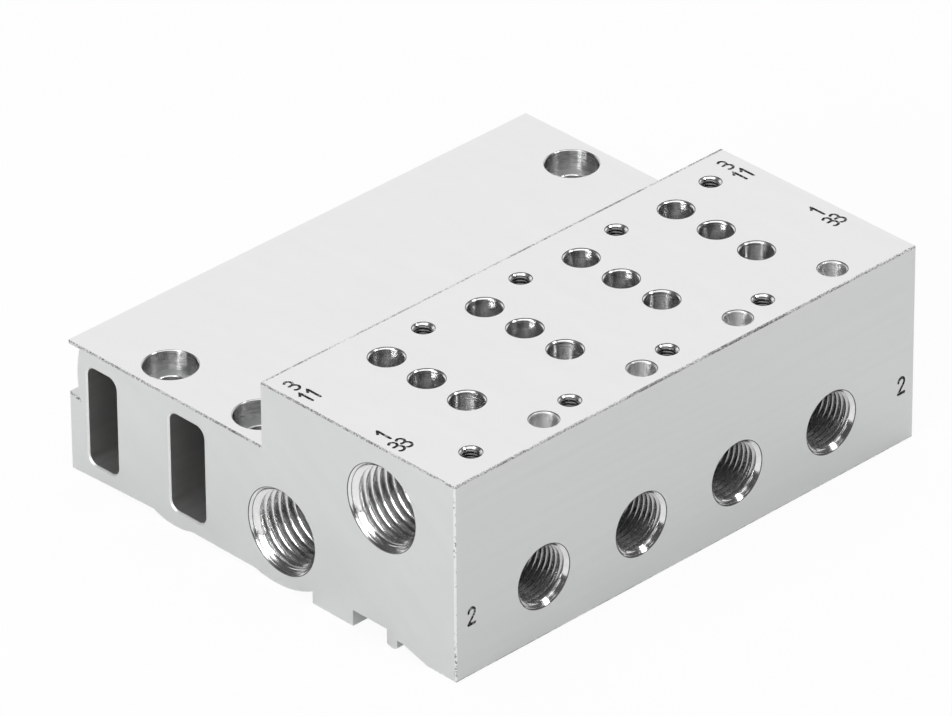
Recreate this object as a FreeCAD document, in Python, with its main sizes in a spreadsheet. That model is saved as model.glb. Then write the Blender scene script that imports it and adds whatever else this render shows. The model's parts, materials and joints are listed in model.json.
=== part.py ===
import FreeCAD, Part
import os
import Sketcher
from FreeCAD import Vector

# Manifold plate for a row of small valves: one aluminium extrusion, sawn to length, milled and
# drilled. A raised block carries the valves and their air passages, and a lower slab beside it,
# with two hollow chambers, is screwed down.
# Frame: +X along the extrusion, the outlets in the face at the low Y side, +Z up, and the origin
# in the middle of the underside. A setback is a distance from the outlet face, across the part.

NODE = "manifold_plate"

doc = FreeCAD.newDocument("manifold")
dims = doc.addObject("Spreadsheet::Sheet", "dims")

# Driving dimensions, in millimetres.
DRIVING = (
    ("length", 91.0, "extrusion, end to end"),
    ("full_width", 78.6, "block and slab together"),
    ("block_width", 38.7, "raised block"),
    ("block_height", 31.8, "underside to the valve face"),
    ("slab_height", 21.3, "underside to the top of the slab"),
    ("corner_radius", 0.3, "long outer corners of the extrusion"),
    ("edge_break", 0.25, "chamfer on the edges of both sawn ends"),
    ("station_count", 4, "valve stations in the row"),
    ("station_pitch", 19.0, "from one station to the next"),
    ("port_row_setback", 15.0, "first row of valve ports"),
    ("port_row_pitch", 8.0, "from one row of valve ports to the next"),
    ("valve_port", 5.0, "valve port, diameter"),
    ("valve_port_mouth", 5.5, "valve port, diameter of its chamfer"),
    ("screw_spacing", 18.0, "the two valve screws of a station, measured along the plate"),
    ("screw_front_setback", 5.0, "valve screw by the outlet face"),
    ("screw_back_setback", 33.0, "valve screw by the slab"),
    ("screw_core", 2.5, "valve screw, core diameter of its thread"),
    ("screw_mouth", 3.4, "valve screw, diameter of its chamfer"),
    ("screw_depth", 9.0, "valve screw, depth of the hole"),
    ("peg_offset", 4.0, "locating hole, along the plate from the middle of its station"),
    ("peg_setback", 4.0, "locating hole"),
    ("peg_hole", 4.0, "locating hole, diameter"),
    ("peg_mouth", 4.5, "locating hole, diameter of its chamfer"),
    ("peg_depth", 5.0, "locating hole, depth"),
    ("upper_gallery_height", 22.0, "axis of the upper gallery"),
    ("upper_gallery_shift", 0.5, "from the first row of ports, towards the outlet face"),
    ("lower_gallery_height", 9.0, "axis of the lower gallery"),
    ("lower_gallery_shift", 3.8, "from the third row of ports, towards the slab"),
    ("gallery_bore", 10.0, "both galleries, diameter"),
    ("gallery_thread_core", 11.445, "gallery thread, core diameter"),
    ("gallery_thread_mouth", 13.6, "gallery thread, diameter of its chamfer"),
    ("gallery_thread_depth", 12.0, "gallery thread, from each end"),
    ("outlet_height", 9.8, "axis of the outlets"),
    ("outlet_bore", 6.0, "outlet behind its thread, diameter"),
    ("outlet_thread_core", 8.566, "outlet thread, core diameter"),
    ("outlet_thread_mouth", 10.1, "outlet thread, diameter of its chamfer"),
    ("outlet_thread_depth", 9.0, "outlet thread, depth"),
    ("mount_end_inset", 5.8, "mounting hole, from the nearer end"),
    ("mount_side_inset", 15.2, "outer mounting holes, from the outer side of the slab"),
    ("mount_row_spacing", 18.6, "from the outer mounting holes to the inner ones"),
    ("mount_bore", 4.5, "mounting hole, diameter"),
    ("mount_counterbore", 8.0, "recess for the screw head, diameter"),
    ("mount_counterbore_depth", 3.2, "recess for the screw head, depth"),
    ("chamber_floor", 2.7, "wall under the chambers"),
    ("chamber_roof", 2.6, "wall over the chambers"),
    ("chamber_radius", 1.5, "corners of the chambers"),
    ("outer_wall", 3.85, "wall outside the narrow chamber"),
    ("narrow_chamber_width", 6.1, "chamber near the outer side"),
    ("wide_chamber_width", 7.2, "chamber between the two rows of mounting holes"),
    ("groove_height", 12.8, "underside to the mouth of the side groove"),
    ("groove_depth", 2.2, "side groove"),
    ("groove_fall", 0.4, "the groove's ledge, lower at its root"),
    ("groove_wall_radius", 17.0, "bulged root of the side groove"),
    ("lip_thickness", 0.65, "lip over the side groove"),
    ("underside_recess", 0.57, "underside between the boss and the rib"),
    ("rail_width", 4.8, "flat under the outlet face"),
    ("ramp_height", 1.65, "top of the ramp behind that flat"),
    ("hook_relief", 1.1, "flat between the ramp and the hook"),
    ("hook_setback", 11.7, "near side of the hook"),
    ("hook_width", 2.0, "hook beside the underside slot"),
    ("hook_tip_radius", 1.6, "rounded tip of the hook"),
    ("slot_width", 6.8, "underside slot"),
    ("slot_height", 2.65, "underside slot"),
    ("foot_width", 8.15, "flat foot beside the underside slot"),
    ("boss_shift", 1.4, "boss, from the axis of the lower gallery towards the slab"),
    ("boss_radius", 15.5, "boss under the lower gallery"),
    ("rib_shift", 2.8, "rib, from the middle of the wide chamber towards the outer side"),
    ("rib_radius", 11.0, "rounded rib under the wide chamber"),
    ("rib_outer_rise", 0.72, "top of the long slope from the rib to the outer corner"),
)
for line, (alias, size, meaning) in enumerate(DRIVING, start=1):
    dims.set("A%d" % line, meaning)
    dims.set("B%d" % line, str(size))
    dims.setAlias("B%d" % line, alias)
doc.recompute()

# Places that follow from the driving dimensions, as expressions.
HALF_LENGTH = "dims.length / 2"
HALF_WIDTH = "dims.full_width / 2"
FIRST_STATION = "(dims.length - (dims.station_count - 1) * dims.station_pitch) / 2"
ROW_ONE = "dims.port_row_setback"
ROW_TWO = "dims.port_row_setback + dims.port_row_pitch"
ROW_THREE = "dims.port_row_setback + 2 * dims.port_row_pitch"
UPPER_GALLERY = ROW_ONE + " - dims.upper_gallery_shift"
LOWER_GALLERY = ROW_THREE + " + dims.lower_gallery_shift"
OUTER_MOUNTS = "dims.full_width - dims.mount_side_inset"
INNER_MOUNTS = OUTER_MOUNTS + " - dims.mount_row_spacing"
WIDE_CHAMBER = OUTER_MOUNTS + " - dims.mount_row_spacing / 2 - dims.wide_chamber_width / 2"
NARROW_CHAMBER = "dims.full_width - dims.outer_wall - dims.narrow_chamber_width"
CHAMBER_TOP = "dims.slab_height - dims.chamber_roof"

plate = doc.addObject("PartDesign::Body", NODE)


def value(expression):
    """The number that an expression gives now."""
    return float(plate.evalExpression(expression))


def origin_feature(role):
    """One of the body's own origin planes or axes."""
    return next(item for item in plate.Origin.OriginFeatures if item.Role == role)


def new_sketch(name, plane, across="0", up="0", lift="0"):
    """A sketch on an origin plane, with its own origin moved by three expressions."""
    sketch = plate.newObject("Sketcher::SketchObject", name)
    sketch.AttachmentSupport = [(origin_feature(plane), "")]
    sketch.MapMode = "FlatFace"
    sketch.setExpression("AttachmentOffset.Base.x", across)
    sketch.setExpression("AttachmentOffset.Base.y", up)
    sketch.setExpression("AttachmentOffset.Base.z", lift)
    doc.recompute()
    return sketch


def section_sketch(name, lift="0"):
    """A sketch across the extrusion: its first coordinate is the setback, its second the height."""
    return new_sketch(name, "YZ_Plane", across="-" + HALF_WIDTH, lift=lift)


def top_sketch(name, height):
    """A sketch seen from above: distance from the low X end, then the setback."""
    return new_sketch(name, "XY_Plane", across="-" + HALF_LENGTH, up="-" + HALF_WIDTH, lift=height)


def outlet_sketch(name):
    """A sketch on the outlet face: distance from the low X end, then the height."""
    return new_sketch(name, "XZ_Plane", across="-" + HALF_LENGTH, lift=HALF_WIDTH)


def constrain(sketch, kind, *where, expression):
    """Adds a dimension to a sketch and ties it to an expression."""
    index = sketch.addConstraint(Sketcher.Constraint(kind, *where, value(expression)))
    sketch.setExpression("Constraints[%d]" % index, expression)


def place_point(sketch, element, point, across, up):
    """Holds a point of an element at two expressions, and on the axis where one is nothing."""
    for kind, axis, expression in (("DistanceX", -2, across), ("DistanceY", -1, up)):
        if expression == "0":
            sketch.addConstraint(Sketcher.Constraint("PointOnObject", element, point, axis))
        else:
            constrain(sketch, kind, -1, 1, element, point, expression=expression)


def add_outline(sketch, corners):
    """A closed outline, anticlockwise. Each corner is (across, up, radius): the edge that starts
    there is straight where the radius is None, and else an arc that bulges out of the metal."""
    points = [Vector(value(across), value(up), 0) for across, up, radius in corners]
    first = sketch.GeometryCount
    for start, end, (across, up, radius) in zip(points, points[1:] + points[:1], corners):
        if radius is None:
            element = sketch.addGeometry(Part.LineSegment(start, end), False)
        else:
            chord = end - start
            arc_radius = value(radius)
            rise = arc_radius - (arc_radius ** 2 - chord.Length ** 2 / 4) ** 0.5
            outwards = Vector(chord.y, -chord.x, 0).normalize()
            crown = (start + end) / 2 + outwards * rise
            element = sketch.addGeometry(Part.Arc(start, crown, end), False)
        place_point(sketch, element, 1, across, up)
    last = sketch.GeometryCount - 1
    for element in range(first, last + 1):
        following = first if element == last else element + 1
        sketch.addConstraint(Sketcher.Constraint("Coincident", element, 2, following, 1))
    for element, (across, up, radius) in enumerate(corners, start=first):
        if radius is not None:
            constrain(sketch, "Radius", element, expression=radius)


def add_circle(sketch, across, up, diameter):
    """A circle whose centre and diameter follow expressions."""
    centre = Vector(value(across), value(up), 0)
    element = sketch.addGeometry(Part.Circle(centre, Vector(0, 0, 1), value(diameter) / 2), False)
    place_point(sketch, element, 3, across, up)
    constrain(sketch, "Diameter", element, expression=diameter)


def cut_through(name, sketch):
    """Cuts a section's outlines from end to end of the extrusion."""
    pocket = plate.newObject("PartDesign::Pocket", name)
    pocket.Profile = sketch
    pocket.Type = "ThroughAll"
    pocket.SideType = "Symmetric"
    doc.recompute()
    return pocket


def drill(name, sketch, centres, diameter, depth, mouth=None, recess=None, through=False, point=False):
    """Drills a sketch's centres. A mouth is the diameter of a 45 degree chamfer, a recess is the
    diameter and depth of a counterbore, and a point leaves the cone of the drill at the bottom."""
    for across, up in centres:
        add_circle(sketch, across, up, diameter)
    hole = plate.newObject("PartDesign::Hole", name)
    hole.Profile = sketch
    doc.recompute()
    hole.ThreadType = "None"
    hole.DepthType = "ThroughAll" if through else "Dimension"
    hole.DrillPoint = "Angled" if point else "Flat"
    hole.setExpression("Diameter", diameter)
    if not through:
        hole.setExpression("Depth", depth)
    if mouth:
        hole.HoleCutType = "Countersink"
        hole.HoleCutCustomValues = True
        hole.HoleCutCountersinkAngle = 90
        hole.setExpression("HoleCutDiameter", mouth)
    if recess:
        hole.HoleCutType = "Counterbore"
        hole.HoleCutCustomValues = True
        hole.setExpression("HoleCutDiameter", recess[0])
        hole.setExpression("HoleCutDepth", recess[1])
    doc.recompute()
    return hole


def edge_names(feature, chosen):
    """The names of a feature's edges that a test picks."""
    return ["Edge%d" % number for number, edge in enumerate(feature.Shape.Edges, start=1) if chosen(edge)]


def arc_height(radius, run):
    """How far an arc that touches the base plane has risen at a distance from its lowest point."""
    return "%s - sqrt((%s) ^ 2 - (%s) ^ 2)" % (radius, radius, run)


def arc_run(radius, height):
    """How far from its lowest point such an arc reaches a height."""
    return "sqrt(2 * %s * %s - (%s) ^ 2)" % (radius, height, height)


# The extrusion's section. It stands on the flat under the outlet face, the tip of the hook, the
# foot, the boss, the rib and the outer corner; the slab's side has a groove under a thin lip.
hook_near = "dims.hook_setback"
hook_far = hook_near + " + dims.hook_width"
hook_tip_height = arc_height("dims.hook_tip_radius", "dims.hook_width / 2")
foot_near = hook_far + " + dims.slot_width"
foot_far = foot_near + " + dims.foot_width"
boss_middle = LOWER_GALLERY + " + dims.boss_shift"
boss_start_height = arc_height("dims.boss_radius", "%s - (%s)" % (boss_middle, foot_far))
boss_end = boss_middle + " + " + arc_run("dims.boss_radius", "dims.underside_recess")
rib_middle = WIDE_CHAMBER + " + dims.wide_chamber_width / 2 + dims.rib_shift"
rib_start = rib_middle + " - " + arc_run("dims.rib_radius", "dims.underside_recess")
rib_end = rib_middle + " + " + arc_run("dims.rib_radius", "dims.rib_outer_rise")
groove_root = "dims.full_width - dims.groove_depth"
lip_underside = "dims.slab_height - dims.lip_thickness"

section = section_sketch("section")
add_outline(section, (
    ("0", "0", None),
    ("dims.rail_width", "0", None),
    (hook_near + " - dims.hook_relief", "dims.ramp_height", None),
    (hook_near, "dims.ramp_height", None),
    (hook_near, hook_tip_height, "dims.hook_tip_radius"),
    (hook_far, hook_tip_height, None),
    (hook_far, "dims.slot_height", None),
    (foot_near, "dims.slot_height", None),
    (foot_near, "0", None),
    (foot_far, "0", None),
    (foot_far, boss_start_height, "dims.boss_radius"),
    (boss_end, "dims.underside_recess", None),
    (rib_start, "dims.underside_recess", "dims.rib_radius"),
    (rib_end, "dims.rib_outer_rise", None),
    ("dims.full_width", "0", None),
    ("dims.full_width", "dims.groove_height", None),
    (groove_root, "dims.groove_height - dims.groove_fall", "dims.groove_wall_radius"),
    (groove_root, lip_underside, None),
    ("dims.full_width", lip_underside, None),
    ("dims.full_width", "dims.slab_height", None),
    ("dims.block_width", "dims.slab_height", None),
    ("dims.block_width", "dims.block_height", None),
    ("0", "dims.block_height", None),
))
extrusion = plate.newObject("PartDesign::Pad", "extrusion")
extrusion.Profile = section
extrusion.SideType = "Symmetric"
extrusion.setExpression("Length", "dims.length")
doc.recompute()

# The two hollow chambers of the slab, open at both ends.
chambers = section_sketch("chamber_outlines")
for near, width in ((WIDE_CHAMBER, "dims.wide_chamber_width"), (NARROW_CHAMBER, "dims.narrow_chamber_width")):
    far = near + " + " + width
    add_outline(chambers, (
        (near + " + dims.chamber_radius", "dims.chamber_floor", None),
        (far + " - dims.chamber_radius", "dims.chamber_floor", "dims.chamber_radius"),
        (far, "dims.chamber_floor + dims.chamber_radius", None),
        (far, CHAMBER_TOP + " - dims.chamber_radius", "dims.chamber_radius"),
        (far + " - dims.chamber_radius", CHAMBER_TOP, None),
        (near + " + dims.chamber_radius", CHAMBER_TOP, "dims.chamber_radius"),
        (near, CHAMBER_TOP + " - dims.chamber_radius", None),
        (near, "dims.chamber_floor + dims.chamber_radius", "dims.chamber_radius"),
    ))
hollowed = cut_through("chambers", chambers)

# The long outer corners are rounded by the die, and both sawn ends are deburred where they show.
outer_corners = (
    ("0", "0"),
    ("0", "dims.block_height"),
    ("dims.block_width", "dims.block_height"),
    ("dims.full_width", "0"),
)
corner_places = [(value(across) - value(HALF_WIDTH), value(up)) for across, up in outer_corners]
TOUCH = 1e-6


def is_outer_corner(edge):
    """An edge along the extrusion at one of the places in corner_places."""
    middle = edge.BoundBox.Center
    along = abs(edge.BoundBox.XLength - value("dims.length")) < TOUCH
    return along and any(abs(middle.y - y) < TOUCH and abs(middle.z - z) < TOUCH for y, z in corner_places)


def is_end_edge(edge):
    """An edge of a sawn face, above the forms of the underside."""
    in_end_face = all(abs(abs(vertex.X) - value(HALF_LENGTH)) < TOUCH for vertex in edge.Vertexes)
    return in_end_face and edge.BoundBox.XLength < TOUCH and edge.BoundBox.ZMax > value("dims.slot_height") + TOUCH


rounded = plate.newObject("PartDesign::Fillet", "die_corners")
rounded.Base = (hollowed, edge_names(hollowed, is_outer_corner))
rounded.setExpression("Radius", "dims.corner_radius")
doc.recompute()

deburred = plate.newObject("PartDesign::Chamfer", "end_edge_breaks")
deburred.Base = (rounded, edge_names(rounded, is_end_edge))
deburred.setExpression("Size", "dims.edge_break")
doc.recompute()

# Two galleries run the whole length, with a threaded port at each end.
gallery_axes = (
    (UPPER_GALLERY, "dims.upper_gallery_height"),
    (LOWER_GALLERY, "dims.lower_gallery_height"),
)
gallery_section = section_sketch("gallery_circles")
for setback, height in gallery_axes:
    add_circle(gallery_section, setback, height, "dims.gallery_bore")
cut_through("galleries", gallery_section)
gallery_ports = drill(
    "gallery_ports", section_sketch("gallery_port_centres", lift=HALF_LENGTH), gallery_axes,
    "dims.gallery_thread_core", "dims.gallery_thread_depth", mouth="dims.gallery_thread_mouth")

# Mounting holes in the slab, each with a recess for a low screw head.
mounting_holes = drill(
    "mounting_holes", top_sketch("mounting_centres", "dims.slab_height"),
    [("dims.length - dims.mount_end_inset", setback) for setback in (INNER_MOUNTS, OUTER_MOUNTS)],
    "dims.mount_bore", "0", recess=("dims.mount_counterbore", "dims.mount_counterbore_depth"), through=True)

# What is cut at one end is cut at the other.
both_ends = plate.newObject("PartDesign::Mirrored", "both_ends")
both_ends.Originals = [gallery_ports, mounting_holes]
both_ends.MirrorPlane = (origin_feature("YZ_Plane"), [""])
plate.Tip = both_ends
doc.recompute()

# One station: three ports down to their passages, an outlet, two screws and a locating hole.
valve_ports = [
    drill(name, top_sketch(name + "_centre", "dims.block_height"), [(FIRST_STATION, setback)],
          "dims.valve_port", "dims.block_height - " + passage, mouth="dims.valve_port_mouth")
    for name, setback, passage in (
        ("port_to_upper_gallery", ROW_ONE, "dims.upper_gallery_height"),
        ("port_to_outlet", ROW_TWO, "dims.outlet_height"),
        ("port_to_lower_gallery", ROW_THREE, "dims.lower_gallery_height"),
    )
]
outlet_centre = [(FIRST_STATION, "dims.outlet_height")]
outlet_bore = drill(
    "outlet_bore", outlet_sketch("outlet_bore_centre"), outlet_centre,
    "dims.outlet_bore", ROW_TWO + " + dims.valve_port / 2")
outlet_thread = drill(
    "outlet_thread", outlet_sketch("outlet_thread_centre"), outlet_centre,
    "dims.outlet_thread_core", "dims.outlet_thread_depth", mouth="dims.outlet_thread_mouth")
valve_screws = drill(
    "valve_screws", top_sketch("valve_screw_centres", "dims.block_height"),
    [(FIRST_STATION + " - dims.screw_spacing / 2", "dims.screw_front_setback"),
     (FIRST_STATION + " + dims.screw_spacing / 2", "dims.screw_back_setback")],
    "dims.screw_core", "dims.screw_depth", mouth="dims.screw_mouth", point=True)
locating_hole = drill(
    "locating_hole", top_sketch("locating_centre", "dims.block_height"),
    [(FIRST_STATION + " + dims.peg_offset", "dims.peg_setback")],
    "dims.peg_hole", "dims.peg_depth", mouth="dims.peg_mouth", point=True)

# The station repeats along the plate.
stations = plate.newObject("PartDesign::LinearPattern", "stations")
stations.Originals = valve_ports + [outlet_bore, outlet_thread, valve_screws, locating_hole]
stations.Direction = (origin_feature("X_Axis"), [""])
stations.Mode = "Spacing"
stations.setExpression("Offset", "dims.station_pitch")
stations.setExpression("Occurrences", "dims.station_count")
plate.Tip = stations
doc.recompute()

# Nothing is written unless every object is sound and every cut took metal away.
for item in doc.Objects:
    if "Invalid" in item.State or "Error" in item.State:
        raise RuntimeError("%s failed: %s" % (item.Label, item.State))
steps = [item for item in plate.Group if item.isDerivedFrom("PartDesign::Feature")]
for before, after in zip(steps, steps[1:]):
    if after.Shape.Volume >= before.Shape.Volume:
        raise RuntimeError("%s cut nothing" % after.Label)
if plate.Shape.isNull() or not plate.Shape.isValid() or len(plate.Shape.Solids) != 1:
    raise RuntimeError("the plate isn't one sound solid")

os.makedirs("parts", exist_ok=True)
plate.Shape.exportStep(os.path.join("parts", NODE + ".step"))
print("%s: %.0f cubic mm, box %s" % (NODE, plate.Shape.Volume, plate.Shape.BoundBox))
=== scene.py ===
import json
import math

import bmesh
import bpy
import numpy as np
from mathutils import Matrix, Vector


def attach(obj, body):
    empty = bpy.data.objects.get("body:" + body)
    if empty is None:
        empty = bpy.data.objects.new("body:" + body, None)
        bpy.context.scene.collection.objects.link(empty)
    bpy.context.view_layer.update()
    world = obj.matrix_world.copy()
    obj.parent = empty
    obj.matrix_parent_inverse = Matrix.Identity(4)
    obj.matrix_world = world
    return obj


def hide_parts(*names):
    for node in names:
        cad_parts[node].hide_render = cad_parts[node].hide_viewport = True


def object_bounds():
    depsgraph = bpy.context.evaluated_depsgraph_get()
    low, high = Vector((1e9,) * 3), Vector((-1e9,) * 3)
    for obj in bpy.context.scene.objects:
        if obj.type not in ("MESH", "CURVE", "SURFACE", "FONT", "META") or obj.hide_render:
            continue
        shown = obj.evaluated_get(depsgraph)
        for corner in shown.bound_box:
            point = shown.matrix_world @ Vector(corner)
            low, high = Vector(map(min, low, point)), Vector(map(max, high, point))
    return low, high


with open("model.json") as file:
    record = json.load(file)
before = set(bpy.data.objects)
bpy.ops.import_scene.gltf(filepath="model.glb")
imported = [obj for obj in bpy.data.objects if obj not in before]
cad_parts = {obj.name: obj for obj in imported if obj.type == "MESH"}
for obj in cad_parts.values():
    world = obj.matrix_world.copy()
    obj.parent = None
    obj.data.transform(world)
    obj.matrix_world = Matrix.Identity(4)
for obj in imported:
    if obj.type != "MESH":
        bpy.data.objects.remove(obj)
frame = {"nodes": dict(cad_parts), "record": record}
cad_low, cad_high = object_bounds()

# The extrusion: one length of pressed aluminium, which is the whole part. The die leaves fine lines
# along its sides and inside its two chambers; the chambers' walls are set darker, as painted shade in
# the hollows. Its shape is a merged copy of the imported solid, with one cut beside the valve face's
# back edge, so that a strip there can take its own painted shade.
MM = 0.001
MERGE = 1e-7
SCREWS_TO_STEP = 15.4 * MM
CORNER_RADIUS = 0.3 * MM
DARK_BAND_WIDTH = 0.25 * MM
GRAIN_DETAIL, GRAIN_LOW, GRAIN_HIGH = 3.0, 0.3, 0.7
EXTRUDED_DARK, EXTRUDED_LIGHT = (0.705, 0.72, 0.713), (0.728, 0.742, 0.736)
CHAMBER_SHADE_DARK, CHAMBER_SHADE_LIGHT = (0.50, 0.505, 0.495), (0.55, 0.555, 0.545)
DIE_LINE, CHAMBER_LINE = (45 * MM, 1.2 * MM, 1.2 * MM), (20 * MM, 1.0 * MM, 1.0 * MM)
CHAMBER_CORNER = 1.5 * MM
WALL, FLAT = 0.5, 0.99

mounts = {mount["name"]: mount for mount in frame["record"]["mounts"]}
openings = {opening["name"]: opening["box_m"] for opening in frame["record"]["physics"]["openings"]}
block_top = mounts["valve_face"]["pos_m"][2]
step_y = mounts["slab_screws"]["pos_m"][1] - SCREWS_TO_STEP
dark_band_y = step_y - CORNER_RADIUS - DARK_BAND_WIDTH


def wire(tree, kind, inputs=None, **settings):
    """Adds a shader node; each input takes a plain value, or the output of another node."""
    node = tree.nodes.new("ShaderNode" + kind)
    for name, value in settings.items():
        setattr(node, name, value)
    for name, value in (inputs or {}).items():
        if isinstance(value, bpy.types.NodeSocket):
            tree.links.new(value, node.inputs[name])
        else:
            node.inputs[name].default_value = value
    return node


def new_group(name, takes, gives):
    """An empty node group with named sockets; returns it with its input and output sockets."""
    group = bpy.data.node_groups.new(name, "ShaderNodeTree")
    for in_out, sockets in (("INPUT", takes), ("OUTPUT", gives)):
        for socket, kind in sockets.items():
            group.interface.new_socket(socket, in_out=in_out, socket_type="NodeSocket" + kind)
    return group, group.nodes.new("NodeGroupInput").outputs, group.nodes.new("NodeGroupOutput").inputs


def build_grain():
    """Grain from 0 to 1: noise in spots with a size along each axis, once the axes are turned."""
    group, given, result = new_group("grain", {"Turn": "Vector", "Spot size": "Vector"},
                                     {"Value": "Float"})
    place = wire(group, "TexCoord").outputs["Object"]
    spots = wire(group, "Mapping", {"Vector": place, "Rotation": given["Turn"],
                                    "Scale": given["Spot size"]}, vector_type="TEXTURE")
    noise = wire(group, "TexNoise", {"Vector": spots.outputs[0], "Scale": 1.0,
                                     "Detail": GRAIN_DETAIL})
    spread = wire(group, "MapRange", {"Value": noise.outputs[0], "From Min": GRAIN_LOW,
                                      "From Max": GRAIN_HIGH})
    group.links.new(spread.outputs[0], result["Value"])
    return group


grain = build_grain()


def new_metal(name, dark, light, roughness, spot_size, turn=(0, 0, 0), metallic=1.0):
    """A finish between two colours and between two roughnesses, both by one grain."""
    material = bpy.data.materials.new(name)
    material.use_nodes = True
    tree = material.node_tree
    shader = tree.nodes["Principled BSDF"]
    shader.inputs["Metallic"].default_value = metallic
    spots = wire(tree, "Group", {"Turn": turn, "Spot size": spot_size}, node_tree=grain)
    tone = spots.outputs["Value"]
    colour = wire(tree, "Mix", {"Factor": tone, "A": (*dark, 1.0), "B": (*light, 1.0)},
                  data_type="RGBA")
    rough = wire(tree, "MapRange", {"Value": tone, "To Min": roughness[0], "To Max": roughness[1]})
    tree.links.new(colour.outputs["Result"], shader.inputs["Base Color"])
    tree.links.new(rough.outputs[0], shader.inputs["Roughness"])
    return material


extruded = new_metal("extruded_aluminium", EXTRUDED_DARK, EXTRUDED_LIGHT, roughness=(0.39, 0.43),
                     spot_size=DIE_LINE)
# The chambers' walls: darker than the pressed sides, as painted shade in the hollows.
chamber = new_metal("chamber_wall", CHAMBER_SHADE_DARK, CHAMBER_SHADE_LIGHT, roughness=(0.50, 0.56),
                    spot_size=CHAMBER_LINE)

shell = bmesh.new()
shell.from_mesh(frame["nodes"]["manifold_plate"].data)
bmesh.ops.remove_doubles(shell, verts=shell.verts, dist=MERGE)
everything = shell.verts[:] + shell.edges[:] + shell.faces[:]
bmesh.ops.bisect_plane(shell, geom=everything, dist=MERGE, plane_co=(0, dark_band_y, 0),
                       plane_no=(0, 1, 0))
plate = bpy.data.objects.new("machined_plate", bpy.data.meshes.new("machined_plate"))
shell.to_mesh(plate.data)
shell.free()
if "custom_normal" in plate.data.attributes:
    plate.data.attributes.remove(plate.data.attributes["custom_normal"])
bpy.context.scene.collection.objects.link(plate)
plate.data.materials.append(extruded)

face_count = len(plate.data.polygons)
normal, centre = np.empty(face_count * 3), np.empty(face_count * 3)
plate.data.polygons.foreach_get("normal", normal)
plate.data.polygons.foreach_get("center", centre)
normal, centre = normal.reshape(-1, 3), centre.reshape(-1, 3)
finish = np.zeros(face_count, np.int32)


def give_finish(faces, material):
    """The chosen faces of the plate take a material, which joins its list if it is new there."""
    names = list(plate.data.materials.keys())
    if material.name not in names:
        plate.data.materials.append(material)
        names.append(material.name)
    finish[faces] = names.index(material.name)
    plate.data.polygons.foreach_set("material_index", finish)


def by_chamber(name, reach):
    """Whether each face's middle lies in a chamber's section, or within a reach of it."""
    low, high = np.array(openings[name])[:, 1:]
    return np.all((centre[:, 1:] > low - reach) & (centre[:, 1:] < high + reach), axis=1)


for name in ("wide_chamber", "narrow_chamber"):
    give_finish(by_chamber(name, CHAMBER_CORNER) & (np.abs(normal[:, 0]) < WALL), chamber)

# The two sawn ends: a fine circular saw cuts the bar to length, and leaves faint slanting bands.
# They are the bar's own metal, a little brighter than the pressed sides.
SAWN_DARK, SAWN_LIGHT = (0.718, 0.732, 0.726), (0.742, 0.756, 0.75)
SAW_BAND, SAW_SLANT = (9 * MM, 18 * MM, 3.0 * MM), math.radians(35)
ON_FACE = 0.01 * MM
sawn = new_metal("sawn_aluminium", SAWN_DARK, SAWN_LIGHT, roughness=(0.40, 0.45),
                 spot_size=SAW_BAND, turn=(SAW_SLANT, 0, 0))
at_end = np.abs(centre[:, 0]) > cad_high.x - ON_FACE
give_finish(at_end & (np.abs(normal[:, 0]) > FLAT), sawn)

# The tops: a wide face mill takes the valve face and the slab's top down to size, and leaves them
# nearly even, with arcs too fine to count. They are the palest faces of the part partly as painted
# light: their colour is set above the sides' and ends' to stand in for part of the extra light the
# tops catch.
MILLED_AND_LIT_DARK, MILLED_AND_LIT_LIGHT = (0.845, 0.845, 0.845), (0.865, 0.865, 0.865)
MILL_BAND = (3 * MM, 12 * MM, 3 * MM)
SCREW_RECESS_DEPTH = 3.2 * MM
slab_top = mounts["slab_screws"]["pos_m"][2] + SCREW_RECESS_DEPTH
milled_and_lit = new_metal("milled_aluminium", MILLED_AND_LIT_DARK, MILLED_AND_LIT_LIGHT, roughness=(0.40, 0.44),
                   spot_size=MILL_BAND)
for level in (block_top, slab_top):
    give_finish((normal[:, 2] > FLAT) & np.isclose(centre[:, 2], level, atol=ON_FACE), milled_and_lit)

# The broken edges: a file and a brush break every outer edge by a quarter of a millimetre. The short
# dark and bright dashes along them are painted shade and painted highlight, for the edges'
# reflections.
# A strip on the valve face along its back edge takes the same dashes, mostly dark, as painted shade
# there; the ends' upright corners take bright dashes and the chambers' rims a bright colour, both
# painted highlight.
EDGE_BREAK, EDGE_REACH = 0.25 * MM, 1.1
CHAMBER_RIM = 0.8 * MM
LEAST_SLANT, LEAST_TURN, MOST_TURN = 0.05, 0.2, 0.97
DASH, DASH_PATCH, PATCH_SHARE = 0.22 * MM, 7 * MM, 0.6
DASH_SPOT, CORNER_SPOT = (DASH, DASH, DASH), (DASH, DASH, 2 * DASH)
# Painted shade and painted highlight: the dashes' dark and bright colours, and the rims' bright one.
DASH_SHADE, DASH_HIGHLIGHT = (0.24, 0.24, 0.24), (0.88, 0.88, 0.88)
RIM_HIGHLIGHT_LOW, RIM_HIGHLIGHT_HIGH = (0.84, 0.84, 0.84), (0.92, 0.92, 0.92)


def build_dashes():
    """Dashes: a fine grain plus a share of a broad one; a sum under Low is 0 and over High is 1."""
    group, given, result = new_group("dashes", {"Fine": "Float", "Broad": "Float", "Share": "Float",
                                                "Low": "Float", "High": "Float"},
                                     {"Value": "Float"})
    both = wire(group, "Math", {0: given["Broad"], 1: given["Share"], 2: given["Fine"]},
                operation="MULTIPLY_ADD")
    cut = wire(group, "MapRange", {"Value": both.outputs[0], "From Min": given["Low"],
                                   "From Max": given["High"]})
    group.links.new(cut.outputs[0], result["Value"])
    return group


dashes = build_dashes()


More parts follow.
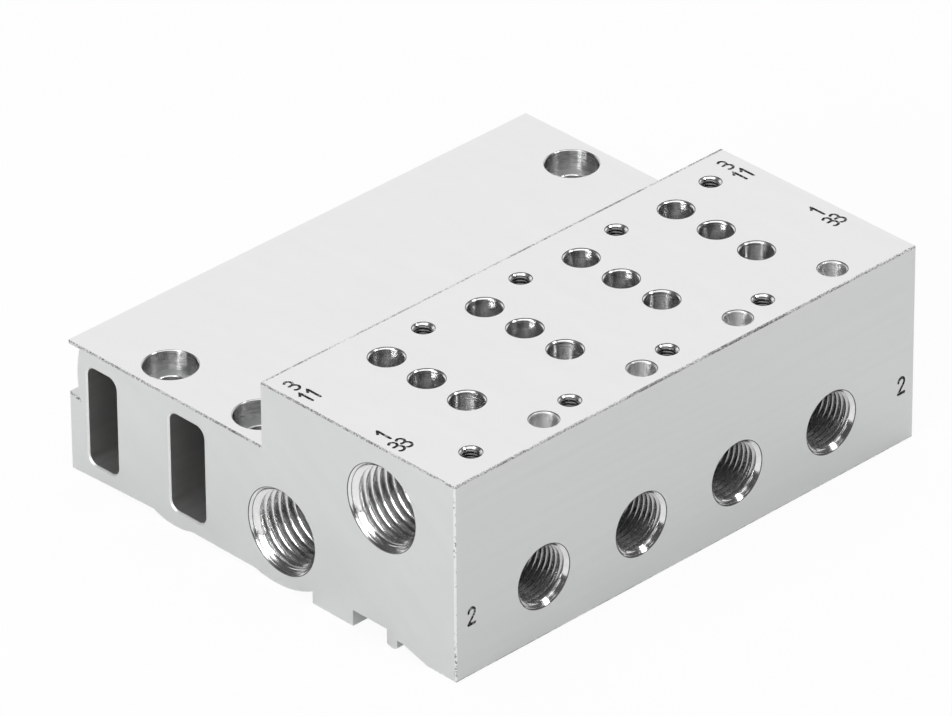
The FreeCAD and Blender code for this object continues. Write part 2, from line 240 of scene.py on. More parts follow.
def cut_to_dashes(material, low, high, patch_size):
    """Puts dashes in place of the grain between a finish's two colours."""
    tree = material.node_tree
    mix = next(node for node in tree.nodes if node.type == "MIX")
    patches = wire(tree, "Group", {"Spot size": (patch_size,) * 3}, node_tree=grain)
    cut = wire(tree, "Group", {"Fine": mix.inputs["Factor"].links[0].from_socket,
                               "Broad": patches.outputs["Value"], "Share": PATCH_SHARE,
                               "Low": low, "High": high}, node_tree=dashes)
    tree.links.new(cut.outputs["Value"], mix.inputs["Factor"])


# Edge dashes, corner dashes and chamber rims: painted shade and painted highlight along the edges.
edge_light_and_shade = new_metal("deburred_edge", DASH_SHADE, DASH_HIGHLIGHT, roughness=(0.50, 0.62),
                     spot_size=DASH_SPOT)
corner_highlight = new_metal("brushed_corner", DASH_SHADE, RIM_HIGHLIGHT_HIGH, roughness=(0.40, 0.50),
                    spot_size=CORNER_SPOT)
chamber_rim = new_metal("chamber_rim", RIM_HIGHLIGHT_LOW, RIM_HIGHLIGHT_HIGH, roughness=(0.48, 0.54),
                        spot_size=DASH_SPOT)
cut_to_dashes(edge_light_and_shade, low=0.45, high=1.05, patch_size=DASH_PATCH)
cut_to_dashes(corner_highlight, low=0.35, high=0.6, patch_size=DASH_PATCH)

nx, ny, nz = np.abs(normal).T
from_sides = np.abs(centre[:, 1:2] - np.array([cad_low.y, cad_high.y, step_y])).min(axis=1)
by_a_side = from_sides < EDGE_REACH * CORNER_RADIUS
by_a_face = (centre[:, 2] > block_top - CORNER_RADIUS) | (centre[:, 2] < CORNER_RADIUS)
by_an_end = np.abs(centre[:, 0]) > cad_high.x - EDGE_REACH * EDGE_BREAK
by_a_chamber = by_chamber("wide_chamber", CHAMBER_RIM) | by_chamber("narrow_chamber", CHAMBER_RIM)
end_edge = by_an_end & (nx > LEAST_TURN) & (nx < MOST_TURN)
side_edge = (nx < LEAST_SLANT) & (ny > LEAST_SLANT) & (nz > LEAST_SLANT) & by_a_side & by_a_face
# The strip behind the valve face's back edge: painted shade, in mostly dark dashes.
burr = (nz > FLAT) & (centre[:, 2] > block_top - ON_FACE) & (centre[:, 1] > dark_band_y)
give_finish((end_edge & ~by_a_chamber) | side_edge | burr, edge_light_and_shade)
give_finish(end_edge & ~by_a_chamber & (nz < LEAST_SLANT), corner_highlight)
give_finish(end_edge & by_a_chamber, chamber_rim)

# The long drillings: two galleries from end to end, and the four outlets' bores, which cross the
# row of valve ports. A drill leaves fine rings round its axis on their walls. The outlets' walls
# are set much darker, as painted shade inside the outlets.
GALLERY_DARK, GALLERY_LIGHT = (0.86, 0.86, 0.86), (0.92, 0.92, 0.92)
OUTLET_SHADE_DARK, OUTLET_SHADE_LIGHT = (0.32, 0.32, 0.32), (0.42, 0.42, 0.42)
GALLERY_BORE, OUTLET_BORE = 5.02 * MM, 3.02 * MM
RING_SPACING, RING_EASE, RING_DETAIL = 0.03 * MM, 0.2, 1.0
RING_SPOT = (0.8 * MM, 0.8 * MM, 0.8 * MM)
OUTLETS = ["outlet_%d" % number for number in (1, 2, 3, 4)]


def build_tool_rings():
    """Rings a tool leaves round its axis: noise along the axis alone tips the normal to and fro
    along that axis, so that a lamp's reflection is drawn out into a streak along the wall. A small
    ease makes most rings lean by the full tip."""
    group, given, result = new_group("tool_rings", {"Axis": "Vector", "Spacing": "Float",
                                                    "Tip": "Float", "Ease": "Float"},
                                     {"Normal": "Vector"})
    place = wire(group, "TexCoord").outputs["Object"]
    along = wire(group, "VectorMath", {0: place, 1: given["Axis"]}, operation="DOT_PRODUCT")
    turns = wire(group, "Math", {0: along.outputs["Value"], 1: given["Spacing"]}, operation="DIVIDE")
    noise = wire(group, "TexNoise", {"W": turns.outputs[0], "Scale": 1.0, "Detail": RING_DETAIL},
                 noise_dimensions="1D")
    low = wire(group, "Math", {0: 0.5, 1: given["Ease"]}, operation="SUBTRACT")
    high = wire(group, "Math", {0: 0.5, 1: given["Ease"]}, operation="ADD")
    spread = wire(group, "MapRange", {"Value": noise.outputs[0], "From Min": low.outputs[0],
                                      "From Max": high.outputs[0], "To Min": -1.0, "To Max": 1.0})
    tip = wire(group, "Math", {0: spread.outputs[0], 1: given["Tip"]}, operation="MULTIPLY")
    lean = wire(group, "VectorMath", {0: given["Axis"], "Scale": tip.outputs[0]}, operation="SCALE")
    plain = wire(group, "NewGeometry").outputs["Normal"]
    leaning = wire(group, "VectorMath", {0: plain, 1: lean.outputs[0]}, operation="ADD")
    unit = wire(group, "VectorMath", {0: leaning.outputs[0]}, operation="NORMALIZE")
    group.links.new(unit.outputs[0], result["Normal"])
    return group


tool_rings = build_tool_rings()


def new_tooled(name, dark, light, roughness, axis, tip, ease=RING_EASE, spacing=RING_SPACING):
    """A metal finish whose normals lean by the rings of a tool that turned about an axis."""
    material = new_metal(name, dark, light, roughness, spot_size=RING_SPOT)
    tree = material.node_tree
    rings = wire(tree, "Group", {"Axis": axis, "Spacing": spacing, "Tip": tip, "Ease": ease},
                 node_tree=tool_rings)
    tree.links.new(rings.outputs["Normal"], tree.nodes["Principled BSDF"].inputs["Normal"])
    return material


end_bored = new_tooled("bored_gallery", GALLERY_DARK, GALLERY_LIGHT, roughness=(0.22, 0.30),
                       axis=(1, 0, 0), tip=0.5)
# The outlets' bore walls: set dark, as painted shade inside the outlets.
side_bored_shaded = new_tooled("bored_outlet", OUTLET_SHADE_DARK, OUTLET_SHADE_LIGHT, roughness=(0.22, 0.30),
                        axis=(0, 1, 0), tip=0.5)
for name in ("upper_gallery_port_low_x", "lower_gallery_port_low_x"):
    offset = centre - mounts[name]["pos_m"]
    in_bore = np.hypot(offset[:, 1], offset[:, 2]) < GALLERY_BORE
    give_finish(in_bore & (np.abs(normal[:, 0]) < WALL), end_bored)
for name in OUTLETS:
    offset = centre - mounts[name]["pos_m"]
    in_bore = np.hypot(offset[:, 0], offset[:, 2]) < OUTLET_BORE
    give_finish(in_bore & (np.abs(normal[:, 1]) < WALL), side_bored_shaded)

# The drilled and reamed holes: screw recesses in the slab, then valve ports, locating holes and
# screw cores in the valve face. Each is cut as one turned solid, a hair wider than the packed
# solid's hole, with a near-black ring at its mouth that is painted shade along the rim. Their
# sizes are in millimetres.
HAIR, LIFT = 0.01, 0.5
UP = (0, 0, 1)
SHADE_RING_OUTSIDE, SHADE_RING_INSIDE, LIP_SHADE_RING = 0.02, 0.10, 0.04
RECESS_RADIUS, RECESS_LIP, THROUGH = 4.0, 0.12, 25.0
PORT_MOUTH, PEG_MOUTH, SCREW_MOUTH = 2.75, 2.25, 1.7
PEG_DEPTH, SCREW_DEPTH, POINT_RADIUS, POINT_SLOPE = 5.0, 9.0, 0.05, 0.6
ROW_DEPTHS, SHALLOW_ROW = {-24.3: 9.8, -16.3: 22.0, -8.3: 22.8}, 12.0
RECESS_SEGMENTS, PORT_SEGMENTS, PEG_SEGMENTS = 96, 64, 56
CHAMFER_DARK, CHAMFER_LIGHT = (0.84, 0.84, 0.84), (0.94, 0.94, 0.94)
BORE_DARK, BORE_LIGHT = (0.66, 0.66, 0.66), (0.74, 0.74, 0.74)
REAMED_DARK, REAMED_LIGHT = (0.60, 0.60, 0.60), (0.68, 0.68, 0.68)
PEG_DARK, PEG_LIGHT = (0.84, 0.84, 0.84), (0.92, 0.92, 0.92)
RECESS_SHADE_DARK, RECESS_SHADE_LIGHT = (0.40, 0.40, 0.40), (0.54, 0.54, 0.54)
RIM_SHADE_DARK, RIM_SHADE_LIGHT = (0.06, 0.06, 0.06), (0.22, 0.22, 0.22)
SHADE_RING_SPOT = (0.3 * MM, 0.3 * MM, 0.3 * MM)


def hole_solid(radius, height, finishes, origin, axis, climb=0):
    """A closed solid round an axis: point (row, k) lies at radius[row, k] from the axis, at the
    angle 2 pi k / segments, height[row, k] along it. A row's finish holds up to the next row, and
    a fan closes each end. On a helix the last column joins the first one that many rows nearer the
    mouth, which climb gives."""
    rows, segments = radius.shape
    angle = np.linspace(0, 2 * np.pi, segments, endpoint=False)
    rings = np.stack([radius * np.cos(angle), radius * np.sin(angle), height], axis=-1)
    hubs = np.array([[0, 0, height[0].mean()], [0, 0, height[-1].mean()]])
    turn = np.array(Vector(axis).to_track_quat("Z", "Y").to_matrix())
    points = np.concatenate([rings.reshape(-1, 3), hubs]) * MM @ turn.T + np.array(origin)
    row, k = np.mgrid[0:rows, 0:segments]
    near = row * segments + k
    far = np.where(k + 1 < segments, near + 1, np.maximum(row - climb, 0) * segments)
    quads = np.stack([near[:-1], near[1:], far[1:], far[:-1]], axis=-1).reshape(-1, 4)
    first, last = near[0], near[-1]
    hub = np.full(segments, rows * segments)
    first_fan = np.stack([first, np.roll(first, -1), hub], axis=-1)
    last_fan = np.stack([np.roll(last, -1), last, hub + 1], axis=-1)
    faces = quads.tolist() + first_fan.tolist() + last_fan.tolist()
    names = [finish.name for finish in finishes]
    return points, faces, np.repeat(names[:-1] + [names[0], names[-1]], segments)


def plain_hole(outline, segments, origin, axis):
    """A hole's solid from its outline: rows of radius, height above the mouth, and finish."""
    size = np.array([row[:2] for row in outline], float)
    radius, height = np.repeat(size.T[:, :, None], segments, axis=2)
    return hole_solid(radius, height, [row[2] for row in outline], origin, axis)


def countersunk(mouth, bore, chamfer, wall, burr=SHADE_RING_INSIDE):
    """The outline of a hole's mouth, with a 45 degree chamfer from one radius down to another. The
    ring of painted shade is half a hair deep outside the mouth, and goes on into the chamfer."""
    return [(mouth + SHADE_RING_OUTSIDE, LIFT, burr_ring), (mouth + SHADE_RING_OUTSIDE, -HAIR / 2, burr_ring),
            (mouth + HAIR, -HAIR / 2, burr_ring), (mouth + HAIR - burr, -burr, chamfer),
            (bore + HAIR, bore - mouth, wall)]


def cut_from_plate(name, solids):
    """Takes closed solids away from the plate; the new surfaces keep the solids' finishes."""
    starts = np.cumsum([0] + [len(points) for points, faces, names in solids])
    faces = [[start + v for v in face] for start, solid in zip(starts, solids) for face in solid[1]]
    mesh = bpy.data.meshes.new(name)
    mesh.from_pydata(np.concatenate([solid[0] for solid in solids]).tolist(), [], faces)
    names, index = np.unique(np.concatenate([solid[2] for solid in solids]), return_inverse=True)
    for finish_name in names:
        mesh.materials.append(bpy.data.materials[str(finish_name)])
    mesh.polygons.foreach_set("material_index", index.astype(np.int32))
    merged = bmesh.new()
    merged.from_mesh(mesh)
    bmesh.ops.remove_doubles(merged, verts=merged.verts, dist=MERGE)
    merged.to_mesh(mesh)
    merged.free()
    cutter = bpy.data.objects.new(name, mesh)
    bpy.context.scene.collection.objects.link(cutter)
    cut = plate.modifiers.new(name, "BOOLEAN")
    cut.operation, cut.solver, cut.object = "DIFFERENCE", "MANIFOLD", cutter
    cut.material_mode = "TRANSFER"
    graph = bpy.context.evaluated_depsgraph_get()
    result = bpy.data.meshes.new_from_object(plate.evaluated_get(graph), depsgraph=graph)
    plate.modifiers.clear()
    before = plate.data
    plate.data = result
    for unused in (before, mesh):
        bpy.data.meshes.remove(unused)


def pattern_centres(name):
    """The hole centres of a bolt pattern: its middle, plus and minus half of each spacing."""
    mount = mounts[name]
    half_x = mount["dims"].get("spacing_x_mm", 0.0) * MM / 2
    half_y = mount["dims"].get("spacing_y_mm", 0.0) * MM / 2
    rows = (-1, 1) if half_y else (0,)
    middle = np.array(mount["pos_m"])
    return [middle + (side * half_x, row * half_y, 0) for side in (-1, 1) for row in rows]


bored = new_tooled("bored_wall", BORE_DARK, BORE_LIGHT, roughness=(0.18, 0.24), axis=UP, tip=0.45,
                   ease=0.08)
reamed = new_tooled("reamed_wall", REAMED_DARK, REAMED_LIGHT, roughness=(0.12, 0.18), axis=UP,
                    tip=0.9)
locating = new_tooled("locating_wall", PEG_DARK, PEG_LIGHT, roughness=(0.29, 0.35), axis=UP,
                      tip=0.6, ease=0.12)
# The screw recesses' walls: set dark, as painted shade in the recess.
recess_side_shaded = new_tooled("recess_wall", RECESS_SHADE_DARK, RECESS_SHADE_LIGHT, roughness=(0.10, 0.16), axis=UP,
                         tip=0.75, ease=0.12)
recess_floor = new_tooled("recess_floor", CHAMFER_DARK, CHAMFER_LIGHT, roughness=(0.55, 0.65),
                          axis=UP, tip=0.05)
turned = new_tooled("turned_chamfer", CHAMFER_DARK, CHAMFER_LIGHT, roughness=(0.20, 0.26), axis=UP,
                    tip=0.12)
# The near-black ring at each hole's mouth: painted shade along the rim.
burr_ring = new_metal("burr_ring", RIM_SHADE_DARK, RIM_SHADE_LIGHT, roughness=(0.5, 0.6), spot_size=SHADE_RING_SPOT)

screw_bore = mounts["slab_screws"]["dims"]["hole_r_mm"] + HAIR
mouth = countersunk(RECESS_RADIUS + RECESS_LIP, RECESS_RADIUS, turned, recess_side_shaded, burr=LIP_SHADE_RING)
outline = [(radius, height + SCREW_RECESS_DEPTH / MM, finish) for radius, height, finish in mouth]
outline += [(RECESS_RADIUS + HAIR, 0, recess_floor), (screw_bore + RECESS_LIP, 0, turned),
            (screw_bore, -RECESS_LIP, bored), (screw_bore, -THROUGH, bored)]
solids = [plain_hole(outline, RECESS_SEGMENTS, place, UP) for place in pattern_centres("slab_screws")]
for end in ("low_x", "high_x"):
    for name in ("valve_ports_outer_" + end, "valve_ports_middle_" + end):
        radius = mounts[name]["dims"]["hole_r_mm"]
        for place in pattern_centres(name):
            depth = ROW_DEPTHS[round(place[1] / MM, 1)]
            wall = reamed if depth < SHALLOW_ROW else bored
            outline = countersunk(PORT_MOUTH, radius, turned, wall)
            outline += [(radius + HAIR, -depth - 2 * HAIR, wall)]
            solids.append(plain_hole(outline, PORT_SEGMENTS, place, UP))
    for name, mouth, depth, chamfer, wall in (
            ("valve_locating_holes_" + end, PEG_MOUTH, PEG_DEPTH, locating, locating),
            ("valve_screws_front_" + end, SCREW_MOUTH, SCREW_DEPTH, turned, bored),
            ("valve_screws_back_" + end, SCREW_MOUTH, SCREW_DEPTH, turned, bored)):
        radius = mounts[name]["dims"]["hole_r_mm"]
        outline = countersunk(mouth, radius, chamfer, wall)
        outline += [(radius + HAIR, -depth - 2 * HAIR, wall),
                    (POINT_RADIUS, -depth - POINT_SLOPE * radius, wall)]
        solids += [plain_hole(outline, PEG_SEGMENTS, place, UP) for place in pattern_centres(name)]
cut_from_plate("drilling", solids)

# The pipe ports: G1/4 in both ends of each gallery and G1/8 in the four outlets, each drilled to
# its core size and chamfered a little wider than the thread. A fine dark ring across each G1/4
# chamfer is painted shade, a dark line between two bright bands.
GALLERY_MOUTH, GALLERY_DEPTH, GALLERY_SEGMENTS = 6.8, 12.0, 96
OUTLET_MOUTH, OUTLET_DEPTH, OUTLET_SEGMENTS = 5.05, 9.0, 80
DARK_LINE_START, DARK_LINE_END, DARK_LINE_ROW = 0.40, 0.47, 4
CHAMFER_RINGS = 0.12 * MM
end_turned = new_tooled("turned_end_chamfer", CHAMFER_DARK, CHAMFER_LIGHT, roughness=(0.12, 0.18),
                        axis=(1, 0, 0), tip=0.2, spacing=CHAMFER_RINGS)
side_turned = new_tooled("turned_outlet_chamfer", CHAMFER_DARK, CHAMFER_LIGHT,
                         roughness=(0.12, 0.18), axis=(0, 1, 0), tip=0.2, spacing=CHAMFER_RINGS)

end_ports = []
for name in ("upper_gallery_port_", "lower_gallery_port_"):
    for end, outward in (("low_x", -1), ("high_x", 1)):
        y, z = mounts[name + end]["pos_m"][1:]
        end_ports.append(((outward * cad_high.x, y, z), (outward, 0, 0)))
outlet_ports = []
for name in OUTLETS:
    x, y, z = mounts[name]["pos_m"]
    outlet_ports.append(((x, cad_low.y, z), (0, -1, 0)))
gallery_core = mounts["upper_gallery_port_low_x"]["dims"]["r_mm"]
outlet_core = mounts["outlet_1"]["dims"]["r_mm"]
gallery_outline = countersunk(GALLERY_MOUTH, gallery_core, end_turned, end_bored)
gallery_outline += [(gallery_core + HAIR, -GALLERY_DEPTH - 2 * HAIR, end_bored)]
# A thin ring of the dark rim colour inside the chamfer: painted shade.
gallery_outline[DARK_LINE_ROW:DARK_LINE_ROW] = [
    (GALLERY_MOUTH + HAIR - DARK_LINE_START, -DARK_LINE_START, burr_ring),
    (GALLERY_MOUTH + HAIR - DARK_LINE_END, -DARK_LINE_END, end_turned)]
outlet_outline = countersunk(OUTLET_MOUTH, outlet_core, side_turned, side_bored_shaded)
outlet_outline += [(outlet_core + HAIR, -OUTLET_DEPTH - 2 * HAIR, side_bored_shaded)]
cut_from_plate("end_drilling", [plain_hole(gallery_outline, GALLERY_SEGMENTS, *port)
                                for port in end_ports])
cut_from_plate("outlet_drilling", [plain_hole(outlet_outline, OUTLET_SEGMENTS, *port)
                                   for port in outlet_ports])

# The threads: taps cut G1/4, G1/8 and M3 into the drilled cores, in the standards' pitch and
# diameter. Their flanks are bright in the ends; in the outlets they are set duller and in the small
# screw holes dark, as painted shade inside those holes. The crests keep a narrow flat of the core's
# wall. Their sizes are in millimetres.
PIPE_FORM = ((0.0, -0.08), (0.1, 0.0), (0.12, 0.04), (0.16, 0.14), (0.41, 0.87), (0.5, 1.0),
             (0.59, 0.87), (0.84, 0.14), (0.88, 0.04), (0.9, 0.0))
SCREW_FORM = ((0.0, -0.08), (0.1, 0.0), (0.46, 1.0), (0.54, 1.0), (0.9, 0.0))
THREAD_DARK, THREAD_LIGHT = (0.86, 0.86, 0.86), (0.94, 0.94, 0.94)
OUTLET_THREAD_SHADE_DARK, OUTLET_THREAD_SHADE_LIGHT = (0.62, 0.62, 0.62), (0.72, 0.72, 0.72)
SCREW_THREAD_SHADE_DARK, SCREW_THREAD_SHADE_LIGHT = (0.16, 0.16, 0.16), (0.30, 0.30, 0.30)
THREAD_SPOT = (0.5 * MM, 0.5 * MM, 0.5 * MM)
end_thread = new_metal("cut_thread", THREAD_DARK, THREAD_LIGHT, roughness=(0.16, 0.22),
                       spot_size=THREAD_SPOT)
# The outlets' and screw holes' threads: set duller and dark, as painted shade inside them.
outlet_thread_shaded = new_metal("cut_outlet_thread", OUTLET_THREAD_SHADE_DARK, OUTLET_THREAD_SHADE_LIGHT,
                          roughness=(0.22, 0.28), spot_size=THREAD_SPOT)
screw_thread_shaded = new_metal("cut_screw_thread", SCREW_THREAD_SHADE_DARK, SCREW_THREAD_SHADE_LIGHT, roughness=(0.20, 0.28),
                         spot_size=THREAD_SPOT)
G_QUARTER = dict(core=gallery_core, major=6.5785, pitch=1.337, length=11.4, segments=76,
                 form=PIPE_FORM, finish=end_thread)
G_EIGHTH = dict(core=outlet_core, major=4.864, pitch=0.907, length=8.6, segments=60,
                form=PIPE_FORM, finish=outlet_thread_shaded)
M_THREE = dict(core=1.25, major=1.5, pitch=0.5, length=5.0, segments=20, form=SCREW_FORM,
               finish=screw_thread_shaded, axis=UP)


def thread_solid(core, major, pitch, length, segments, form, finish, origin, axis):
    """A tap's solid: each row is one helix, which rises one pitch in a turn; the rows are held
    between the mouth and the end of the thread, where radius follows height. The form gives one
    turn as shares of the pitch and of the thread's depth."""
    share, depth = np.array(form).T
    turns = np.arange(-1, math.ceil((length + LIFT) / pitch) + 1)
    along = (turns[:, None] + share).ravel()[::-1]
    angle = np.arange(segments) / segments
    height = np.clip((along[:, None] + angle) * pitch - length, -length, LIFT)
    phase = (height + length) / pitch - angle
    deep = np.interp(phase % 1.0, np.append(share, 1.0), np.append(depth, depth[0]))
    radius = core + (major - core) * deep
    return hole_solid(radius, height, [finish] * len(along), origin, axis, climb=len(form))


screw_places = []
for end in ("low_x", "high_x"):
    for name in ("valve_screws_front_", "valve_screws_back_"):
        screw_places += pattern_centres(name + end)
cut_from_plate("end_tapping", [thread_solid(origin=place, axis=axis, **G_QUARTER)
                               for place, axis in end_ports])
cut_from_plate("outlet_tapping", [thread_solid(origin=place, axis=axis, **G_EIGHTH)
                                  for place, axis in outlet_ports])
cut_from_plate("screw_tapping", [thread_solid(origin=place, **M_THREE) for place in screw_places])

# The stamped port numbers: plain figures struck into the metal at both ends of the valve face and
# of the outlet face. Each stroke is a trough with a bright lip and a near-black floor, painted shade
# in the trough, and the dark is broken here and there. Their sizes are in millimetres.
STROKE_WIDTH, STROKE_DEPTH = 0.48, 0.18
STROKE_SECTION = ((-0.62, 0.08), (-0.44, -0.16), (-0.34, -1.0), (0.34, -1.0), (0.44, -0.16),
                  (0.62, 0.08))
CAP_ANGLES = (80, 55, 28)
BOWL_POINTS = 12
FIGURE_PITCH = 1.45
FACE_LABELS = ((3, -4.5), (11, -8.0), (1, -22.7), (33, -26.1))
FACE_LABEL_X = (-42.95, 42.4)
OUTLET_LABEL_X, OUTLET_LABEL_Z = (-42.4, 42.85), 9.7
STROKE_SHADE_DARK, STROKE_SHADE_LIGHT = (0.01, 0.01, 0.01), (0.40, 0.40, 0.40)
STAMPED_SPOT, LIP_SPOT = (0.3 * MM, 0.3 * MM, 0.3 * MM), (0.4 * MM, 0.4 * MM, 0.4 * MM)
BREAK = 0.5 * MM


def bowl(x, y, across, high, start, end):
    """Points of an ellipse round (x, y), from one angle in degrees to another."""
    angle = np.radians(np.linspace(start, end, BOWL_POINTS))
    return np.stack([x + across * np.cos(angle), y + high * np.sin(angle)], axis=1)


FIGURES = {
    "1": (np.array([(0.12, 1.3), (0.12, -1.3)]), np.array([(0.12, 1.28), (-0.42, 0.68)])),
    "2": (np.concatenate([bowl(0.04, 0.62, 0.6, 0.68, 175, -35), [(-0.6, -1.26)]]),
          np.array([(-0.6, -1.26), (0.62, -1.26)])),
    "3": (np.concatenate([bowl(-0.06, 0.66, 0.56, 0.62, 140, -75), [(-0.5, 0.05)]]),
          bowl(0.0, -0.62, 0.66, 0.66, 68, -130)),
}
# The strokes' near-black floors: painted shade in the troughs.
stamped = new_metal("stamped_figure", STROKE_SHADE_DARK, STROKE_SHADE_LIGHT, roughness=(0.5, 0.7),
                    spot_size=STAMPED_SPOT, metallic=0.0)
cut_to_dashes(stamped, low=0.95, high=1.15, patch_size=BREAK)
lip = new_metal("stamped_lip", CHAMFER_DARK, CHAMFER_LIGHT, roughness=(0.25, 0.35),
                spot_size=LIP_SPOT)
SECTION_FINISH = [finish.name for finish in (lip, stamped, stamped, stamped, lip, lip)]


def stroke_solid(path, origin, right, up):
    """A trough along a path in a face's plane: at each point of the path the section lies square
    to it, (share of width to the left, share of depth outwards). Both ends are rounded: there
    the section goes on by half a width times the sine of an angle, and narrows by its cosine."""
    step = np.diff(path, axis=0)
    step /= np.linalg.norm(step, axis=1)[:, None]
    ahead = np.vstack([step[:1], step[:-1] + step[1:], step[-1:]])
    ahead /= np.linalg.norm(ahead, axis=1)[:, None]
    mitre = 1 / np.sum(ahead * np.vstack([step, step[-1:]]), axis=1)
    cap = np.radians(CAP_ANGLES)
    reach = np.sin(cap)[:, None] * STROKE_WIDTH / 2
    spine = np.vstack([path[:1] - ahead[:1] * reach, path, path[-1:] + ahead[-1:] * reach[::-1]])
    ahead = np.vstack([np.repeat(ahead[:1], len(cap), axis=0), ahead,
                       np.repeat(ahead[-1:], len(cap), axis=0)])
    width = np.concatenate([np.cos(cap), mitre, np.cos(cap[::-1])]) * STROKE_WIDTH
    left = np.stack([-ahead[:, 1], ahead[:, 0]], axis=1) * width[:, None]
    across, deep = np.array(STROKE_SECTION).T
    flat = spine[:, None] + left[:, None] * across[None, :, None]
    rise = (deep * STROKE_DEPTH)[None, :, None] * np.cross(right, up)
    grid = (flat[..., :1] * right + flat[..., 1:] * up + rise) * MM
    rows, points = grid.shape[:2]
    row, k = np.mgrid[0:rows - 1, 0:points]
    near, far = row * points + k, row * points + (k + 1) % points
    quads = np.stack([near, far, far + points, near + points], axis=-1).reshape(-1, 4)
    first, last = np.arange(points)[::-1], np.arange(points) + (rows - 1) * points
    names = np.append(np.tile(SECTION_FINISH, rows - 1), [lip.name, lip.name])
    return grid.reshape(-1, 3) + origin, quads.tolist() + [first.tolist(), last.tolist()], names


X, Y, Z = np.eye(3)
labels = [(number, np.array((x, y, block_top / MM)), X, Y)
          for x in FACE_LABEL_X for number, y in FACE_LABELS]
labels += [(2, np.array((x, cad_low.y / MM, OUTLET_LABEL_Z)), X, Z) for x in OUTLET_LABEL_X]
for stroke in (0, 1):
    solids = []
    for number, middle, right, up in labels:
        figures = str(number)
        for place, figure in enumerate(figures):
            shift = (place - (len(figures) - 1) / 2) * FIGURE_PITCH
            origin = (middle + shift * right) * MM
            solids.append(stroke_solid(FIGURES[figure][stroke], origin, right, up))
    cut_from_plate("stamping", solids)

# The finished plate: points that fall together are joined, each flat shades as one flat, and curved
# walls shade smooth. An edge is sharp where it turns by a wide angle, or where two finishes meet.
SLIVER = 1e-6
SHARP_ANGLE = math.radians(28)
mesh = plate.data
whole = bmesh.new()
whole.from_mesh(mesh)
bmesh.ops.remove_doubles(whole, verts=whole.verts, dist=SLIVER)
bmesh.ops.dissolve_degenerate(whole, edges=whole.edges, dist=SLIVER)
whole.to_mesh(mesh)
whole.free()
mesh.polygons.foreach_set("use_smooth", np.ones(len(mesh.polygons), bool))
mesh.set_sharp_from_angle(angle=SHARP_ANGLE)
corner_edge, sides = np.empty(len(mesh.loops), np.int32), np.empty(len(mesh.polygons), np.int32)
finish, sharp = np.empty(len(mesh.polygons), np.int32), np.empty(len(mesh.edges), bool)
mesh.loops.foreach_get("edge_index", corner_edge)
mesh.polygons.foreach_get("loop_total", sides)
mesh.polygons.foreach_get("material_index", finish)
mesh.edges.foreach_get("use_edge_sharp", sharp)
lowest, highest = np.full(len(sharp), len(mesh.materials)), np.full(len(sharp), -1)
np.minimum.at(lowest, corner_edge, np.repeat(finish, sides))
np.maximum.at(highest, corner_edge, np.repeat(finish, sides))
mesh.edges.foreach_set("use_edge_sharp", sharp | (lowest != highest))
even = plate.modifiers.new("even_flats", "WEIGHTED_NORMAL")
even.keep_sharp, even.weight = True, 100
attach(plate, "root")
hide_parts("manifold_plate")

# The floor: a plain white sheet. The camera sees it as white, and the metal as a little whiter than
# it is lit, while it keeps the plate's shadow.
FLOOR_REACH, FLOOR_ROUGHNESS = 3.0, 0.9
FLOOR_WHITE = (0.88, 0.88, 0.88, 1.0)
CAMERA_WHITE, MIRROR_WHITE = 0.93, 0.10
FLOOR_CORNERS = ((-1, -1), (1, -1), (1, 1), (-1, 1))
mesh = bpy.data.meshes.new("floor")
mesh.from_pydata([(x * FLOOR_REACH, y * FLOOR_REACH, 0) for x, y in FLOOR_CORNERS], [], [(0, 1, 2, 3)])
floor = bpy.data.objects.new("floor", mesh)
bpy.context.scene.collection.objects.link(floor)
sheet = bpy.data.materials.new("white_sheet")
sheet.use_nodes = True
mesh.materials.append(sheet)
tree = sheet.node_tree
paper = tree.nodes["Principled BSDF"]
paper.inputs["Base Color"].default_value = FLOOR_WHITE
paper.inputs["Roughness"].default_value = FLOOR_ROUGHNESS
paper.inputs["Specular IOR Level"].default_value = 0.0
ray = wire(tree, "LightPath").outputs
mirror = wire(tree, "Math", {0: ray["Is Glossy Ray"], 1: ray["Is Transmission Ray"]},
              operation="MAXIMUM")
mirror_share = wire(tree, "Math", {0: mirror.outputs[0], 1: MIRROR_WHITE}, operation="MULTIPLY")
share = wire(tree, "Math", {0: ray["Is Camera Ray"], 1: CAMERA_WHITE, 2: mirror_share.outputs[0]},
             operation="MULTIPLY_ADD")
white = wire(tree, "Emission", {"Strength": 1.0})
mix = wire(tree, "MixShader", {0: share.outputs[0], 1: paper.outputs[0], 2: white.outputs[0]})
tree.links.new(mix.outputs[0], tree.nodes["Material Output"].inputs["Surface"])

# The studio light: a dim room, which the camera sees as white, a broad panel behind the plate,
# which its tops mirror, one overhead for the floor and one in front. A low lamp and a strip on the
# left and a small lamp on the right draw the glints in the holes.
ROOM = 0.07
world = bpy.data.worlds.new("studio")
bpy.context.scene.world = world
world.use_nodes = True
backdrop = world.node_tree.nodes["Background"]
backdrop.inputs["Color"].default_value = (1, 1, 1, 1)
seen = wire(world.node_tree, "LightPath").outputs["Is Camera Ray"]
level = wire(world.node_tree, "MapRange", {"Value": seen, "To Min": ROOM, "To Max": 1.0})
world.node_tree.links.new(level.outputs[0], backdrop.inputs["Strength"])


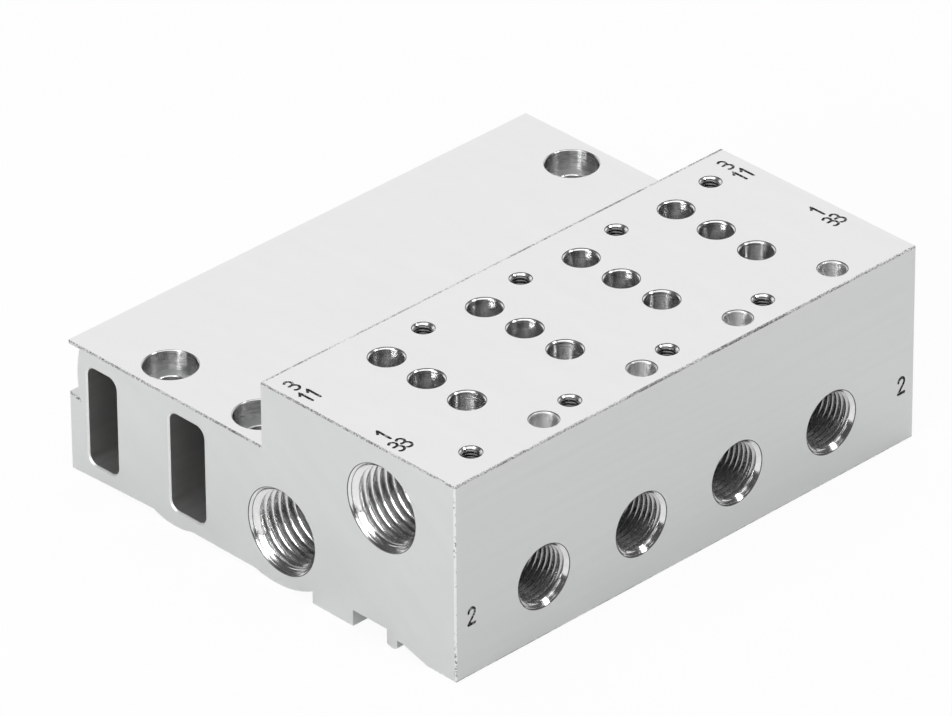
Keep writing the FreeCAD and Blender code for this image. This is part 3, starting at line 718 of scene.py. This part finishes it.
def soft_panel(name, azimuth, elevation, distance, size, whiteness):
    """A flat lamp that faces the plate from a direction in degrees; whiteness 1 shows as white."""
    lamp = bpy.data.lights.new(name, "AREA")
    lamp.shape = "RECTANGLE"
    lamp.size, lamp.size_y = size
    lamp.energy = whiteness * math.pi * size[0] * size[1]
    panel = bpy.data.objects.new(name, lamp)
    a, e = math.radians(azimuth), math.radians(elevation)
    towards = Vector((math.cos(a) * math.cos(e), math.sin(a) * math.cos(e), math.sin(e)))
    turn = towards.to_track_quat("Z", "Y").to_matrix().to_4x4()
    panel.matrix_world = Matrix.Translation(towards * distance) @ turn
    bpy.context.scene.collection.objects.link(panel)


soft_panel("back_panel", azimuth=46, elevation=31, distance=1.5, size=(4.4, 1.9), whiteness=0.90)
soft_panel("top_panel", azimuth=-134, elevation=80, distance=1.5, size=(1.9, 1.9), whiteness=1.15)
soft_panel("front_panel", azimuth=214, elevation=32, distance=1.5, size=(0.9, 0.7), whiteness=1.0)
soft_panel("left_lamp", azimuth=180, elevation=15, distance=1.2, size=(0.7, 0.25), whiteness=12.0)
soft_panel("right_lamp", azimuth=-60, elevation=42, distance=1.2, size=(0.22, 0.22), whiteness=10.0)
soft_panel("left_strip", azimuth=190, elevation=40, distance=1.3, size=(0.3, 0.5), whiteness=4.0)

# The camera: a long lens, above and to the left of the plate's front corner. It was solved from the
# straight edges and square corners of the part in the photograph.
CAMERA_PLACE = (-0.803417, -0.828277, 0.722472)
FORWARD = Vector((0.592502, 0.613324, -0.522279))
RIGHT = Vector((0.716419, -0.697642, -0.006511))
RISE = Vector((0.368356, 0.370313, 0.852751))
LENS, SENSOR = 360.85, 36.0
NEAREST, FURTHEST = 0.1, 20.0
camera = bpy.data.objects.new("camera", bpy.data.cameras.new("camera"))
turn = Matrix((RIGHT, RISE, -FORWARD)).transposed().to_4x4()
camera.matrix_world = Matrix.Translation(CAMERA_PLACE) @ turn
camera.data.lens, camera.data.sensor_width = LENS, SENSOR
camera.data.clip_start, camera.data.clip_end = NEAREST, FURTHEST
bpy.context.scene.collection.objects.link(camera)
bpy.context.scene.camera = camera
bpy.context.scene.view_settings.view_transform = "Standard"
